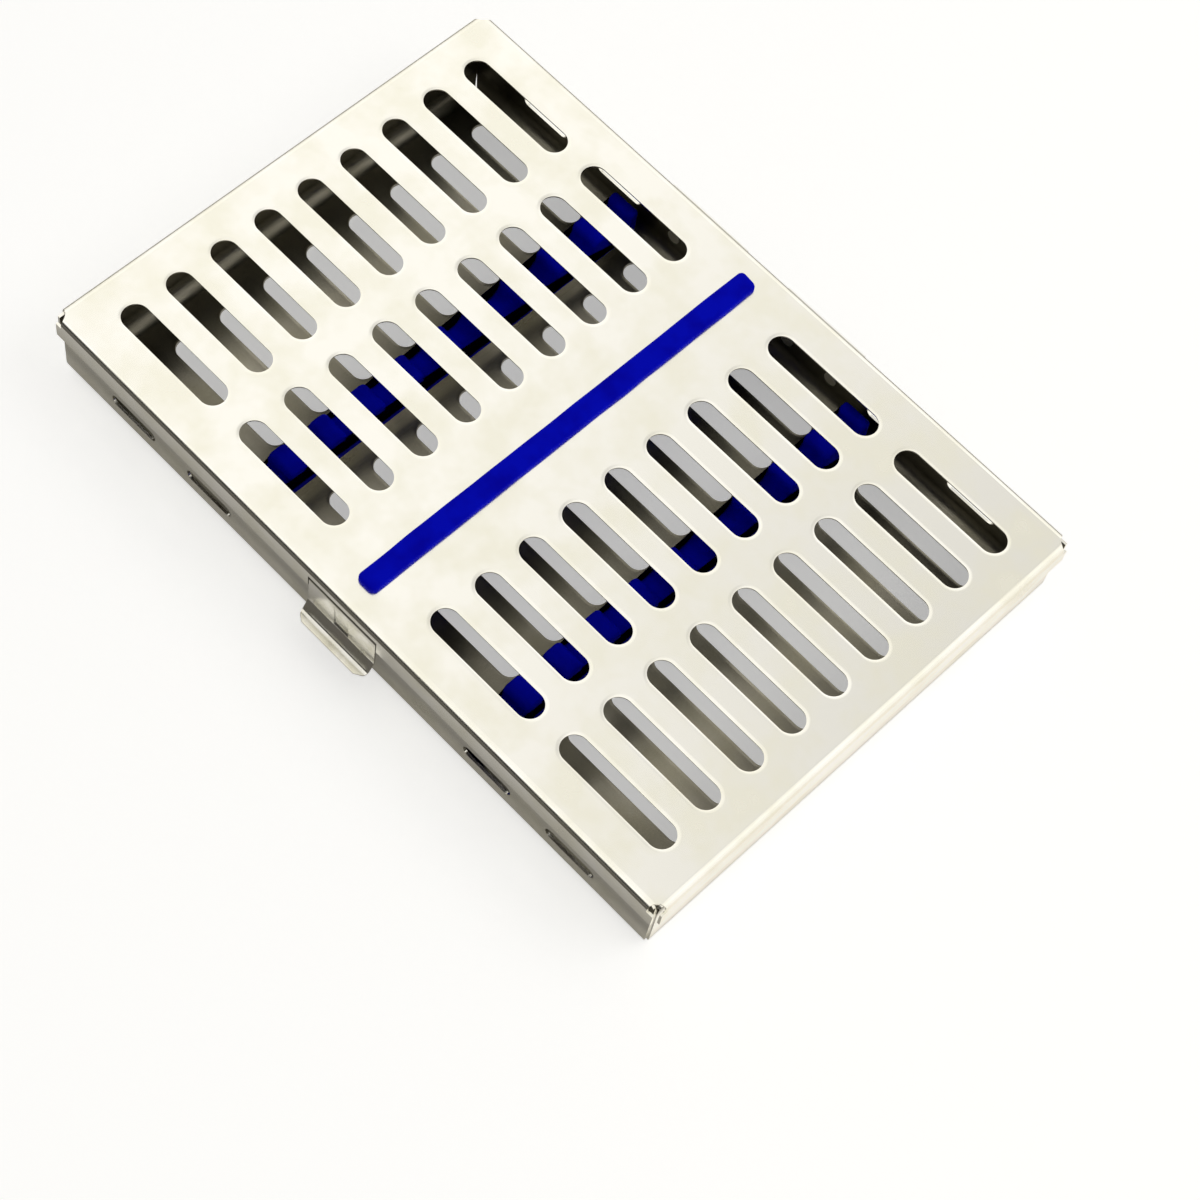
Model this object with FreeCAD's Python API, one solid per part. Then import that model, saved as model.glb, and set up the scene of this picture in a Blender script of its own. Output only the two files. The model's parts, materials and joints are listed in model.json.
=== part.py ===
import FreeCAD, Part
import math
import os

# Instrument cassette: a slotted folded-steel tray with a hinged slotted lid, two silicone combs
# that hold the instruments, a silicone hold-down strip in the lid and a spring thumb latch.
# Millimetres. X runs along the long side, Y from the latch side to the hinge side, Z is up.
# The origin is under the middle of the closed cassette, on the surface that it stands on.

# Outer sizes of the closed case
case_length = 203.0
case_width = 140.0
case_height = 25.0
sheet = 0.7

# Lid pan
lid_bend_radius = 2.0
skirt_height = 7.4
skirt_gap = 0.7
lid_seat_gap = 0.3
lid_notch_radius = 3.2
front_skirt_end = 1.3
side_skirt_start = 1.7

# Tray pan
tray_bend_radius = 5.0
tray_corner_radius = 2.5
corner_slit = 0.9
relief_radius = 1.5

# Long slots, in columns across the width and rows along the length
slot_count = 9
slot_width = 7.2
slot_edge_margin = 10.8
slot_end_flats = 8
rim_width = 0.9
rim_depth = 0.35
lid_end_margin = 9.7
lid_row_gap = 7.6
lid_middle_land = 30.4
floor_end_margin = 12.0
floor_middle_land = 7.0
floor_comb_land_in = 8.1
floor_comb_land_out = 10.0
floor_slot_width = 5.8
floor_edge_margin = 3.7

# Short slots in the two long walls
wall_slot_length = 15.5
wall_slot_height = 3.7
wall_slot_level = 9.8
wall_slot_inner = 47.5
wall_slot_outer = 74.5

# Combs and their rails
comb_spacing = 80.6
comb_width = 8.4
comb_top = 14.8
comb_fit = 0.1
notch_count = 10
tooth_width = 5.9
notch_depth = 6.0
tooth_round = 1.4
rail_width = 8.0
rail_height = 4.4
rail_sheet = 0.7
rail_lip = 1.0
rail_end_gap = 0.6
rail_rivet_reach = 45.0
foot_lift = 1.0

# Hold-down strip in the lid
strip_length = 127.0
strip_cap_width = 6.0
strip_cap_height = 1.5
strip_cap_round = 0.6
strip_neck_width = 4.4
strip_body_width = 8.0
strip_depth = 8.5
strip_end_overlap = 1.5
strip_round = 1.5
strip_fit = 0.1
brace_sheet = 0.7
brace_height = 4.5
brace_end_gap = 1.0

# Spring latch
latch_width = 22.4
latch_sheet = 0.4
latch_side_gap = 0.3
latch_root_height = 1.1
latch_root_drop = 0.3
latch_joggle = 1.0
latch_crease = 11.1
latch_reach = 4.2
latch_tab_drop = 3.3
latch_lip = 2.2
latch_lip_angle = 10.0
latch_bend_radius = 0.5
latch_corner_radius = 3.0
notch_strip = 1.2
nib_length = 4.7
nib_gap = 0.3
nib_groove = 0.4
nib_rise = 1.6
catch_length = 7.5
catch_height = 3.2

# Hinges
hinge_spacing = 40.0
hinge_width = 26.0
hinge_sheet = 0.8
knuckle_radius = 1.9
lid_knuckle_length = 10.0
knuckle_gap = 0.3
knuckle_clear = 0.6
hinge_bend_radius = 0.5
pin_fit = 0.05
pin_tip = 0.4
hinge_drop = 2.0
base_leaf_low = 5.4
base_leaf_flat = 6.2
lid_leaf_top_gap = 0.3

# Rivets
rivet_radius = 1.1
rivet_head_radius = 1.9
rivet_head_height = 0.6
rivet_tail_height = 0.35
rivet_spacing = 15.0
rivet_fit = 0.02
rail_rivet_flare = 0.7

# Places that follow from the sizes above
half_length = case_length / 2
half_width = case_width / 2
skirt_low = case_height - skirt_height
lid_under = case_height - sheet
tray_half_length = half_length - sheet - skirt_gap
tray_half_width = half_width - sheet - skirt_gap
tray_top = lid_under - lid_seat_gap
tray_inner_bend = tray_bend_radius - sheet
flat_half_width = tray_half_width - tray_bend_radius
slot_pitch = (case_width - 2 * slot_edge_margin - slot_width) / (slot_count - 1)
floor_slot_pitch = (2 * (flat_half_width - floor_edge_margin) - floor_slot_width) / (slot_count - 1)
comb_x = comb_spacing / 2
rail_length = 2 * (flat_half_width - rail_end_gap)
notch_pitch = rail_length / notch_count
notch_width = notch_pitch - tooth_width
rail_top = sheet + rail_height
axis_y = half_width + knuckle_radius
axis_z = skirt_low - hinge_drop
knuckle_bore = knuckle_radius - hinge_sheet
skirt_flat_top = case_height - lid_bend_radius
notch_top = skirt_flat_top - notch_strip
tongue_inner_y = -half_width + latch_sheet
nib_z = latch_crease + nib_rise
nib_radius = -tray_half_width - tongue_inner_y - nib_gap


def vec(x, y, z):
    """Point or direction."""
    return FreeCAD.Vector(x, y, z)


def box(x0, x1, y0, y1, z0, z1):
    """Box between two corners."""
    return Part.makeBox(x1 - x0, y1 - y0, z1 - z0, vec(x0, y0, z0))


def light_stadium(length, width, z):
    """Outline of a long slot: each round end is a few flats, because the slots are many."""
    radius = width / 2
    run = length / 2 - radius
    angles = [math.pi * i / slot_end_flats for i in range(slot_end_flats + 1)]
    right = [vec(run + radius * math.sin(a), -radius * math.cos(a), z) for a in angles]
    left = [vec(-p.x, -p.y, z) for p in right]
    return Part.makePolygon(right + left + right[:1])


def stadium(length, width, z):
    """Closed outline of a round-ended slot along X, centred on the Z axis."""
    radius = width / 2
    run = length / 2 - radius
    right = Part.Arc(vec(run, -radius, z), vec(run + radius, 0, z), vec(run, radius, z))
    left = Part.Arc(vec(-run, radius, z), vec(-run - radius, 0, z), vec(-run, -radius, z))
    low = Part.LineSegment(vec(-run, -radius, z), vec(run, -radius, z))
    high = Part.LineSegment(vec(run, radius, z), vec(-run, radius, z))
    return Part.Wire([low.toShape(), right.toShape(), high.toShape(), left.toShape()])


def slot_tool(length, width, z0, z1):
    """Prism that cuts one round-ended slot."""
    return Part.Face(stadium(length, width, z0)).extrude(vec(0, 0, z1 - z0))


def long_slot_tool(length, width, z0, z1):
    """Prism that cuts one of the many long slots."""
    return Part.Face(light_stadium(length, width, z0)).extrude(vec(0, 0, z1 - z0))


def rim_tool(length, top):
    """Tapered ring of metal that is pressed down round a long slot."""
    inner = light_stadium(length, slot_width, top - rim_depth)
    outer = light_stadium(length + 2 * rim_width, slot_width + 2 * rim_width, top)
    return Part.makeLoft([inner, outer], True, True)


def placed(shape, x, y, z=0.0):
    """Copy of a shape, moved."""
    copy = shape.copy()
    copy.translate(vec(x, y, z))
    return copy


def column_places(pitch):
    """Y of every column of long slots."""
    first = -(slot_count - 1) * pitch / 2
    return [first + i * pitch for i in range(slot_count)]


def row_spans(outer_end, breaks):
    """Start and end of each row on both sides of the middle, from the lands between them."""
    ends = breaks + [outer_end]
    spans = [(ends[i], ends[i + 1]) for i in range(0, len(ends), 2)]
    return [(sign * (a + b) / 2, b - a) for sign in (-1, 1) for a, b in spans]


def lid_rows():
    """Centre and length of the four rows of lid slots."""
    inner_start = lid_middle_land / 2
    outer_end = half_length - lid_end_margin
    length = (outer_end - inner_start - lid_row_gap) / 2
    return row_spans(outer_end, [inner_start, inner_start + length, outer_end - length])


def floor_rows():
    """Centre and length of the four rows of tray slots, clear of the combs."""
    comb_in = comb_x - floor_comb_land_in
    comb_out = comb_x + floor_comb_land_out
    outer_end = tray_half_length - floor_end_margin
    return row_spans(outer_end, [floor_middle_land / 2, comb_in, comb_out])


def slot_field(rows, width, pitch, z0, z1):
    """Tools for a whole field of long slots."""
    tools = []
    for centre, length in rows:
        tool = long_slot_tool(length, width, z0, z1)
        tools += [placed(tool, centre, y) for y in column_places(pitch)]
    return tools


def lid_rims():
    """Tools for the pressed rims round the lid slots."""
    tools = []
    for centre, length in lid_rows():
        rim = rim_tool(length, case_height)
        tools += [placed(rim, centre, y) for y in column_places(slot_pitch)]
    return tools


def pan(hx, hy, z0, z1, radius, at_top):
    """Block with one set of long edges rounded, as the outside or the inside of a folded pan."""
    block = box(-hx, hx, -hy, hy, z0, z1)
    return block.makeFillet(radius, edges_at(block, z1 if at_top else z0))


def corner_slits(hx, hy, z0, z1):
    """Diagonal slits that part the walls at the four corners."""
    reach = tray_bend_radius + sheet
    slit = box(-reach, reach, -corner_slit / 2, corner_slit / 2, z0, z1)
    slits = []
    for sx in (-1, 1):
        for sy in (-1, 1):
            cut = slit.copy()
            cut.rotate(vec(0, 0, 0), vec(0, 0, 1), 45 * sx * sy)
            slits.append(placed(cut, sx * hx, sy * hy))
    return slits


def corner_waste(radius, sx, sy, depth):
    """Prism along Z to cut away, so that a corner that points to (sx, sy) becomes round."""
    across = sorted((0, -sx * radius))
    along = sorted((0, -sy * radius))
    waste = box(*across, *along, 0, depth)
    return waste.cut(Part.makeCylinder(radius, depth, vec(-sx * radius, -sy * radius, 0)))


def tray_corner_rounds():
    """Waste at the upper ends of the four tray walls."""
    tools = []
    for side in (-1, 1):
        waste = corner_waste(tray_corner_radius, side, 1, sheet)
        waste.rotate(vec(0, 0, 0), vec(1, 0, 0), 90)
        tools.append(placed(waste, side * tray_half_length, -tray_half_width + sheet, tray_top))
        tools.append(placed(waste, side * tray_half_length, tray_half_width, tray_top))
        waste.rotate(vec(0, 0, 0), vec(0, 0, 1), 90)
        tools.append(placed(waste, -tray_half_length, side * tray_half_width, tray_top))
        tools.append(placed(waste, tray_half_length - sheet, side * tray_half_width, tray_top))
    return tools


def wall_slots():
    """Tools for the short slots in the two long walls."""
    depth = 2 * tray_half_width + 2 * sheet
    tool = slot_tool(wall_slot_length, wall_slot_height, -depth / 2, depth / 2)
    tool.rotate(vec(0, 0, 0), vec(1, 0, 0), 90)
    places = [sign * x for sign in (-1, 1) for x in (wall_slot_inner, wall_slot_outer)]
    return [placed(tool, x, 0, wall_slot_level) for x in places]


def catch_slot():
    """Slot in the front wall, behind the nib of the latch."""
    tool = slot_tool(catch_length, catch_height, 0, 2 * sheet)
    tool.rotate(vec(0, 0, 0), vec(1, 0, 0), 90)
    return placed(tool, 0, -tray_half_width + 1.5 * sheet, nib_z)


def hinge_places():
    """X of the two hinges, with the name of each side."""
    return (("left", -hinge_spacing / 2), ("right", hinge_spacing / 2))


def rivet_places():
    """X of every hinge rivet."""
    return [x + side * rivet_spacing / 2 for _, x in hinge_places() for side in (-1, 1)]


def y_rod(x, z, radius, y0, y1):
    """Rod along Y."""
    return Part.makeCylinder(radius, y1 - y0, vec(x, y0, z), vec(0, 1, 0))


def rail_rivet_places():
    """Y of the rivets of one rail."""
    return (-rail_rivet_reach, 0.0, rail_rivet_reach)


def rail_rivet_cone(x, y, fit):
    """Flared tail of a rail rivet, flush with the underside of the tray."""
    wide = rivet_radius + rail_rivet_flare + fit
    return Part.makeCone(wide, rivet_radius + fit, sheet, vec(x, y, 0))


def base_leaf_rivet_level():
    """Height of the rivets in the tray wall."""
    return base_leaf_low + base_leaf_flat / 2


def lid_leaf_rivet_level():
    """Height of the rivets in the lid skirt."""
    low = axis_z + knuckle_radius + knuckle_clear
    return (low + skirt_flat_top - lid_leaf_top_gap) / 2


def make_base_tray():
    """Tray: slotted floor and four upturned walls, folded from one sheet."""
    outside = pan(tray_half_length, tray_half_width, 0, tray_top, tray_bend_radius, False)
    inside = pan(tray_half_length - sheet, tray_half_width - sheet, sheet,
                 case_height, tray_inner_bend, False)
    shell = outside.cut(inside)
    tools = corner_slits(tray_half_length, tray_half_width, -sheet, case_height)
    for sx in (-1, 1):
        for sy in (-1, 1):
            hole_x = sx * (tray_half_length - tray_bend_radius)
            hole_y = sy * (tray_half_width - tray_bend_radius)
            tools.append(Part.makeCylinder(relief_radius, 3 * sheet, vec(hole_x, hole_y, -sheet)))
    tools += tray_corner_rounds()
    tools += wall_slots()
    tools.append(catch_slot())
    tools += slot_field(floor_rows(), floor_slot_width, floor_slot_pitch, -sheet, 2 * sheet)
    hole = rivet_radius + rivet_fit
    for x in rivet_places():
        tools.append(y_rod(x, base_leaf_rivet_level(), hole, tray_half_width - 2 * sheet,
                           tray_half_width + sheet))
    for side in (-1, 1):
        for y in rail_rivet_places():
            tools.append(rail_rivet_cone(side * comb_x, y, rivet_fit))
    return shell.cut(tools)


def make_lid_plate():
    """Lid: slotted plate with a skirt on all four sides, folded from one sheet."""
    outside = pan(half_length, half_width, skirt_low, case_height, lid_bend_radius, True)
    inside = pan(half_length - sheet, half_width - sheet, 0, lid_under, lid_bend_radius - sheet, True)
    shell = outside.cut(inside)
    tools = []
    for sx in (-1, 1):
        for sy in (-1, 1):
            corner = vec(sx * half_length, sy * half_width, skirt_flat_top - sheet)
            tools.append(Part.makeCylinder(lid_notch_radius, case_height, corner))
            across = sorted((sx * (half_length - front_skirt_end), sx * (half_length + sheet)))
            along = sorted((sy * (half_width - side_skirt_start), sy * (half_width + sheet)))
            tools.append(box(*across, *along, 0, skirt_flat_top))
    tools += slot_field(lid_rows(), slot_width, slot_pitch, lid_under - sheet, case_height + sheet)
    tools += lid_rims()
    reach = latch_width / 2 + latch_side_gap
    tools.append(box(-reach, reach, -half_width - sheet, -half_width + 2 * sheet, 0, notch_top))
    tools.append(strip_hole(lid_under - sheet, case_height + sheet))
    hole = rivet_radius + rivet_fit
    for x in rivet_places():
        tools.append(y_rod(x, lid_leaf_rivet_level(), hole, half_width - 2 * sheet, half_width + sheet))
    return shell.cut(tools)


def strip_hole(z0, z1):
    """Slot that the neck of the hold-down strip passes through."""
    length = strip_length - 2 * strip_end_overlap + 2 * strip_fit
    tool = slot_tool(length, strip_neck_width + 2 * strip_fit, z0, z1)
    tool.rotate(vec(0, 0, 0), vec(0, 0, 1), 90)
    return tool


def edges_at(block, level, shortest=0.0):
    """Edges of a block that lie in one level plane and are long enough."""
    flat = [e for e in block.Edges if e.BoundBox.ZMin > level - 1e-6 and e.BoundBox.ZMax < level + 1e-6]
    return [e for e in flat if e.Length > shortest]


def make_strip_cap():
    """Low cap of the hold-down strip, with round corners and a softened rim."""
    cap = box(-strip_cap_width / 2, strip_cap_width / 2, -strip_length / 2, strip_length / 2,
              case_height, case_height + strip_cap_height)
    uprights = [e for e in cap.Edges if e.BoundBox.ZLength > strip_cap_height / 2]
    cap = cap.makeFillet(strip_round, uprights)
    return cap.makeFillet(strip_cap_round, edges_at(cap, case_height + strip_cap_height))


def make_holddown_strip():
    """Silicone strip: a low cap on the lid, a neck in the slot and the pad that presses down."""
    body_length = strip_length - 2 * brace_end_gap - 2 * brace_sheet
    neck_low = lid_under - brace_sheet
    body = box(-strip_body_width / 2, strip_body_width / 2, -body_length / 2, body_length / 2,
               lid_under - strip_depth, neck_low)
    body = body.makeFillet(strip_round, edges_at(body, lid_under - strip_depth, strip_body_width))
    length = strip_length - 2 * strip_end_overlap
    neck = slot_tool(length, strip_neck_width, neck_low - strip_fit, case_height + strip_fit)
    neck.rotate(vec(0, 0, 0), vec(0, 0, 1), 90)
    return make_strip_cap().fuse([neck, body]).removeSplitter()


def make_holddown_brace():
    """Inverted channel under the lid that stiffens the long slot and grips the strip."""
    inner = strip_body_width / 2 + strip_fit
    outer = inner + brace_sheet
    half = strip_length / 2 - brace_end_gap
    low = lid_under - brace_height
    channel = box(-outer, outer, -half, half, low, lid_under)
    hollow = box(-inner, inner, -half - sheet, half + sheet, low - sheet, lid_under - brace_sheet)
    return channel.cut([hollow, strip_hole(low, case_height)])


def make_comb_rail(x):
    """Rail with in-turned lips, riveted to the tray floor."""
    half = rail_length / 2
    outer = rail_width / 2
    inner = outer - rail_sheet
    throat = inner - rail_lip
    rail = box(-outer, outer, -half, half, sheet, rail_top)
    hollow = box(-inner, inner, -half - sheet, half + sheet, sheet + rail_sheet, rail_top - rail_sheet)
    mouth = box(-throat, throat, -half - sheet, half + sheet, sheet + rail_sheet, rail_top + sheet)
    tools = [hollow, mouth]
    for y in rail_rivet_places():
        tools.append(Part.makeCylinder(rivet_radius + rivet_fit, rail_height, vec(0, y, 0)))
    return placed(rail.cut(tools), x, 0)


def make_rail_rivets(x):
    """Flush rivets that hold one rail down, with low heads under the silicone."""
    rivets = []
    for y in rail_rivet_places():
        cone = rail_rivet_cone(x, y, 0)
        shank = Part.makeCylinder(rivet_radius, rail_sheet, vec(x, y, sheet))
        head = domed_head(vec(x, y, sheet + rail_sheet), vec(0, 0, 1))
        rivets.append(cone.fuse([shank, head]).removeSplitter())
    return Part.makeCompound(rivets)


def domed_head(place, outward):
    """Low rivet head that tapers to a flat crown."""
    crown = rivet_head_radius - rivet_head_height
    return Part.makeCone(rivet_head_radius, crown, rivet_head_height, place, outward)


def make_comb(x):
    """Silicone comb: scalloped head on the lips of the rail and a foot held under them."""
    half = rail_length / 2
    head = box(-comb_width / 2, comb_width / 2, -half, half, rail_top, comb_top)
    notch = slot_tool(2 * notch_depth, notch_width, -comb_width, comb_width)
    notch.rotate(vec(0, 0, 0), vec(0, 1, 0), 90)
    places = [-half + notch_pitch * (i + 0.5) for i in range(notch_count)]
    head = head.cut([placed(notch, 0, y, comb_top) for y in places])
    tips = [e for e in edges_at(head, comb_top) if e.BoundBox.XLength > comb_width / 2]
    head = head.makeFillet(tooth_round, tips)
    throat = rail_width / 2 - rail_sheet - rail_lip - comb_fit
    neck = box(-throat, throat, -half, half, rail_top - rail_sheet - comb_fit, rail_top)
    reach = rail_width / 2 - rail_sheet - comb_fit
    low = sheet + rail_sheet + foot_lift
    foot = box(-reach, reach, -half, half, low, rail_top - rail_sheet - comb_fit)
    return placed(head.fuse([neck, foot]).removeSplitter(), x, 0)


def bent_sheet(points, thickness, radius):
    """Face of a bent sheet seen along X: its left side follows the points, with round bends."""
    points = [vec(0, y, z) for y, z in points]
    runs = [(b - a).normalize() for a, b in zip(points, points[1:])]
    sides = [vec(1, 0, 0).cross(run) for run in runs]
    near = [points[0]]
    far = [points[0] + sides[0] * thickness]
    bends = []
    for i in range(1, len(points) - 1):
        left_turn = runs[i - 1].cross(runs[i]).x > 0
        offset = thickness + radius if left_turn else -radius
        setback = abs(offset) * math.tan(runs[i - 1].getAngle(runs[i]) / 2)
        centre = points[i] - runs[i - 1] * setback + sides[i - 1] * offset
        outward = (points[i] - centre).normalize()
        near_bend = (centre - sides[i - 1] * offset, centre + outward * abs(offset),
                     centre - sides[i] * offset)
        inset = offset - thickness
        far_bend = (centre - sides[i - 1] * inset, centre + outward * abs(inset),
                    centre - sides[i] * inset)
        bends.append((near_bend, far_bend))
    near_end = points[-1]
    far_end = points[-1] + sides[-1] * thickness
    edges = bent_side(near[0], [bend[0] for bend in bends], near_end)
    edges.append(Part.LineSegment(near_end, far_end).toShape())
    edges += bent_side(far[0], [bend[1] for bend in bends], far_end)
    edges.append(Part.LineSegment(far[0], near[0]).toShape())
    return Part.Face(Part.Wire(Part.__sortEdges__(edges)))


def bent_side(start, bends, end):
    """Lines and arcs of one side of a bent sheet."""
    edges = []
    for first, middle, last in bends:
        edges.append(Part.LineSegment(start, first).toShape())
        edges.append(Part.Arc(first, middle, last).toShape())
        start = last
    edges.append(Part.LineSegment(start, end).toShape())
    return edges


def latch_points():
    """Outer side of the latch sheet, from its root down the tongue and out to the lip."""
    root_y = -half_width + sheet
    lip_y = -half_width - latch_reach
    slope = math.radians(latch_lip_angle)
    rim = (lip_y + latch_sheet * math.sin(slope), latch_crease - latch_tab_drop
           + latch_lip * math.sin(slope))
    trough = (rim[0] + latch_lip * math.cos(slope), latch_crease - latch_tab_drop)
    joggle_top = notch_top - latch_root_drop
    return [(root_y, notch_top + latch_root_height), (root_y, joggle_top),
            (-half_width, joggle_top - latch_joggle), (-half_width, latch_crease), trough, rim]


def make_latch_plate():
    """Spring latch: root behind the skirt, tongue in its notch, nib and scooped thumb tab."""
    face = bent_sheet(latch_points(), latch_sheet, latch_bend_radius)
    plate = placed(face.extrude(vec(latch_width, 0, 0)), -latch_width / 2, 0)
    nib = Part.makeCylinder(nib_radius, nib_length, vec(-nib_length / 2, tongue_inner_y, nib_z), vec(1, 0, 0))
    groove = Part.makeCylinder(nib_groove, nib_length, vec(-nib_length / 2, -half_width, nib_z), vec(1, 0, 0))
    front = box(-latch_width, latch_width, -case_width, -half_width + latch_sheet / 2, 0, case_height)
    tools = [groove]
    for side in (-1, 1):
        waste = corner_waste(latch_corner_radius, side, -1, case_height)
        tools.append(placed(waste, side * latch_width / 2, -half_width - latch_reach))
    return plate.fuse([nib.cut([front])]).removeSplitter().cut(tools)


def knuckle(x0, x1, leaf_side):
    """Curled loop of a hinge leaf round the pin, with the stem that leads into its leaf."""
    loop = Part.makeCylinder(knuckle_radius, x1 - x0, vec(x0, axis_y, axis_z), vec(1, 0, 0))
    bore = Part.makeCylinder(knuckle_bore, x1 - x0, vec(x0, axis_y, axis_z), vec(1, 0, 0))
    reach = sorted((axis_z, axis_z + leaf_side * (knuckle_radius + knuckle_clear)))
    stem = box(x0, x1, half_width, half_width + hinge_sheet, *reach)
    return loop.fuse([stem]).cut([bore])


def leaf_rivet_holes(x, level, y0, y1):
    """Tools for the two rivet holes of a leaf."""
    hole = rivet_radius + rivet_fit
    return [y_rod(x + side * rivet_spacing / 2, level, hole, y0, y1) for side in (-1, 1)]


def base_knuckle_spans(x):
    """X ranges of the two outer knuckles of a hinge."""
    inner = lid_knuckle_length / 2 + knuckle_gap
    return ((x - hinge_width / 2, x - inner), (x + inner, x + hinge_width / 2))


def make_hinge_base_leaf(x):
    """Lower hinge leaf: flat on the tray wall, stepped out to two knuckles."""
    wall_y = tray_half_width
    step_top = axis_z - knuckle_radius - knuckle_clear
    flat_top = base_leaf_low + base_leaf_flat
    points = [(half_width + hinge_sheet, step_top), (wall_y + hinge_sheet, flat_top),
              (wall_y + hinge_sheet, base_leaf_low)]
    leaf = bent_sheet(points[::-1], hinge_sheet, hinge_bend_radius).extrude(vec(hinge_width, 0, 0))
    leaf = placed(leaf, x - hinge_width / 2, 0)
    leaf = leaf.fuse([knuckle(x0, x1, -1) for x0, x1 in base_knuckle_spans(x)])
    holes = leaf_rivet_holes(x, base_leaf_rivet_level(), wall_y - sheet, wall_y + 2 * hinge_sheet)
    return leaf.removeSplitter().cut(holes)


def make_hinge_lid_leaf(x):
    """Upper hinge leaf: flat on the lid skirt, with one knuckle between the other two."""
    low = axis_z + knuckle_radius + knuckle_clear
    top = skirt_flat_top - lid_leaf_top_gap
    plate = box(x - hinge_width / 2, x + hinge_width / 2, half_width, half_width + hinge_sheet, low, top)
    loop = knuckle(x - lid_knuckle_length / 2, x + lid_knuckle_length / 2, 1)
    holes = leaf_rivet_holes(x, lid_leaf_rivet_level(), half_width - sheet, half_width + 2 * hinge_sheet)
    return plate.fuse([loop]).removeSplitter().cut(holes)


def make_hinge_pin(x):
    """Pin through the three knuckles of one hinge, with tapered tips."""
    radius = knuckle_bore - pin_fit
    start = vec(x - hinge_width / 2, axis_y, axis_z)
    body = Part.makeCylinder(radius, hinge_width - 2 * pin_tip, start + vec(pin_tip, 0, 0), vec(1, 0, 0))
    left = Part.makeCone(radius - pin_tip, radius, pin_tip, start, vec(1, 0, 0))
    right_start = start + vec(hinge_width - pin_tip, 0, 0)
    right = Part.makeCone(radius, radius - pin_tip, pin_tip, right_start, vec(1, 0, 0))
    return body.fuse([left, right]).removeSplitter()


def make_hinge_rivets(level, wall_in, wall_out):
    """Rivets through a leaf and the sheet behind it: domed heads outside, flat tails inside."""
    rivets = []
    for x in rivet_places():
        head_y = wall_out + hinge_sheet
        shank = y_rod(x, level, rivet_radius, wall_in, head_y)
        head = domed_head(vec(x, head_y, level), vec(0, 1, 0))
        tail = y_rod(x, level, rivet_head_radius, wall_in - rivet_tail_height, wall_in)
        rivets.append(shank.fuse([head, tail]).removeSplitter())
    return Part.makeCompound(rivets)


def build():
    """Every node of the cassette by name."""
    nodes = {"base_tray": make_base_tray(),
             "lid_plate": make_lid_plate(),
             "holddown_strip": make_holddown_strip(),
             "holddown_brace": make_holddown_brace(),
             "latch_plate": make_latch_plate(),
             "hinge_base_rivets": make_hinge_rivets(base_leaf_rivet_level(), tray_half_width - sheet,
                                                    tray_half_width),
             "hinge_lid_rivets": make_hinge_rivets(lid_leaf_rivet_level(), half_width - sheet,
                                                   half_width)}
    for side, x in (("left", -comb_x), ("right", comb_x)):
        nodes["comb_rail_" + side] = make_comb_rail(x)
        nodes["comb_rail_rivets_" + side] = make_rail_rivets(x)
        nodes["comb_" + side] = make_comb(x)
    for side, x in hinge_places():
        nodes["hinge_base_leaf_" + side] = make_hinge_base_leaf(x)
        nodes["hinge_lid_leaf_" + side] = make_hinge_lid_leaf(x)
        nodes["hinge_pin_" + side] = make_hinge_pin(x)
    return nodes


os.makedirs("parts", exist_ok=True)
for name, shape in build().items():
    print(name, "valid" if shape.isValid() else "INVALID", len(shape.Solids), round(shape.Volume, 1))
    shape.exportStep("parts/" + name + ".step")
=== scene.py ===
"""Looks of the instrument cassette: folded steel pans, silicone combs, hold-down strip and latch."""

from __future__ import annotations

import json
import logging
import math
from collections.abc import Callable, Iterable, Mapping, Sequence
from dataclasses import dataclass, field
from enum import Enum

import bmesh
import bpy
from mathutils import Matrix, Vector, noise
from mathutils.geometry import delaunay_2d_cdt

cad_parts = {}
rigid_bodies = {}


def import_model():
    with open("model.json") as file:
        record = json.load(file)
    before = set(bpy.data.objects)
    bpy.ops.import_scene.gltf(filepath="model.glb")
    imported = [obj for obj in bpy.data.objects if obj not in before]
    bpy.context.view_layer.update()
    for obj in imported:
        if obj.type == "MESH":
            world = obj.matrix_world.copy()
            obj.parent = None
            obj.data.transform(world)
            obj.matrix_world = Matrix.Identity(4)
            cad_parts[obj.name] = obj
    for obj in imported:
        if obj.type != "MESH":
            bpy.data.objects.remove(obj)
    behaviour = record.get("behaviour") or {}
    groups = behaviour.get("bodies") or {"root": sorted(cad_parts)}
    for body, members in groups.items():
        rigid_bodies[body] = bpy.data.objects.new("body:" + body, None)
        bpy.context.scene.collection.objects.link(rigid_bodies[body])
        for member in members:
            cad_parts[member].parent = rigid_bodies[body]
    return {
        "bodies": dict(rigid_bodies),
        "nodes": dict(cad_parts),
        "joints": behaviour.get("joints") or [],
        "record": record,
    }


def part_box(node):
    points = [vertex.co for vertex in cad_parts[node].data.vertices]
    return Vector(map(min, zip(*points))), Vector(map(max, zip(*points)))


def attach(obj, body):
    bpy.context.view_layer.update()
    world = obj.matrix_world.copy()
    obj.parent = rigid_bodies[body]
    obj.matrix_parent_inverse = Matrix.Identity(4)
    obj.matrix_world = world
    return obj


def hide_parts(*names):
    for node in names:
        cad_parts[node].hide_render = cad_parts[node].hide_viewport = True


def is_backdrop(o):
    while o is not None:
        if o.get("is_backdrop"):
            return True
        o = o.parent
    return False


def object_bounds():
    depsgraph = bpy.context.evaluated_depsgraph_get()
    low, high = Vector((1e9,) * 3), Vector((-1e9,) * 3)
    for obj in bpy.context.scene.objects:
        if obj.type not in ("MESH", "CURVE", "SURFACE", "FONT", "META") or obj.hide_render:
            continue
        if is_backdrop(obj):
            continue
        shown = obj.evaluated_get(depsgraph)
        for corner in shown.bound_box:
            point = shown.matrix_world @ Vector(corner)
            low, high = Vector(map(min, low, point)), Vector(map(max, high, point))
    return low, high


LOG = logging.getLogger("cassette")
MM = 0.001
MERGE = 1e-6
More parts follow.
